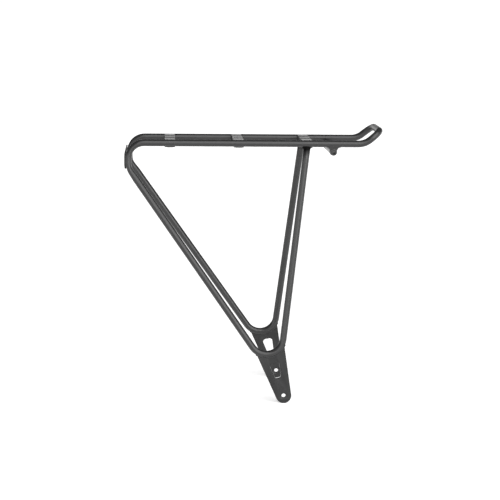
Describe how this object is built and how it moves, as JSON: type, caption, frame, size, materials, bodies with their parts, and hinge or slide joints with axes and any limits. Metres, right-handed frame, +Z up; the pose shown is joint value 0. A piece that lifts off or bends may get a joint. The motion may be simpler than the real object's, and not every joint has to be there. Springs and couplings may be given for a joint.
{
  "type": "bicycle rear rack",
  "caption": "Tubular rear luggage rack: bent side frames with a raised front lip, flat cross bars, bridge tube, rear light plate and dropout plates, coated black.",
  "frame": {"origin": "midway between the two eyelets that bolt to the rear dropouts", "axes": "+X forward along the bicycle, +Y to the rider's left, +Z up"},
  "size_m": [0.3985, 0.1686, 0.4269],
  "materials": {
    "right_side_frame_coat": "satin black powder coat on drawn tube",
    "left_side_frame_coat": "satin black powder coat on drawn tube",
    "rear_cross_bar_coat": "satin black powder coat, polished lighter on the flat top by luggage",
    "middle_cross_bar_coat": "satin black powder coat, polished lighter on the flat top by luggage",
    "front_cross_bar_coat": "satin black powder coat, polished lighter on the flat top by luggage",
    "front_bridge_tube_coat": "satin black powder coat on drawn tube",
    "right_stay_boss_coat": "satin black powder coat on a turned boss",
    "left_stay_boss_coat": "satin black powder coat on a turned boss",
    "right_boss_gusset_coat": "satin black powder coat on a welded web",
    "left_boss_gusset_coat": "satin black powder coat on a welded web",
    "rear_light_plate_coat": "satin black powder coat on cut plate",
    "right_dropout_plate_coat": "satin black powder coat on cut plate",
    "left_dropout_plate_coat": "satin black powder coat on cut plate"
  },
  "bodies": {
    "root": {"right_side_frame": "right_side_frame_coat", "left_side_frame": "left_side_frame_coat", "rear_cross_bar": "rear_cross_bar_coat", "middle_cross_bar": "middle_cross_bar_coat", "front_cross_bar": "front_cross_bar_coat", "front_bridge_tube": "front_bridge_tube_coat", "right_stay_boss": "right_stay_boss_coat", "left_stay_boss": "left_stay_boss_coat", "right_boss_gusset": "right_boss_gusset_coat", "left_boss_gusset": "left_boss_gusset_coat", "rear_light_plate": "rear_light_plate_coat", "right_dropout_plate": "right_dropout_plate_coat", "left_dropout_plate": "left_dropout_plate_coat"}
  },
  "joints": []
}
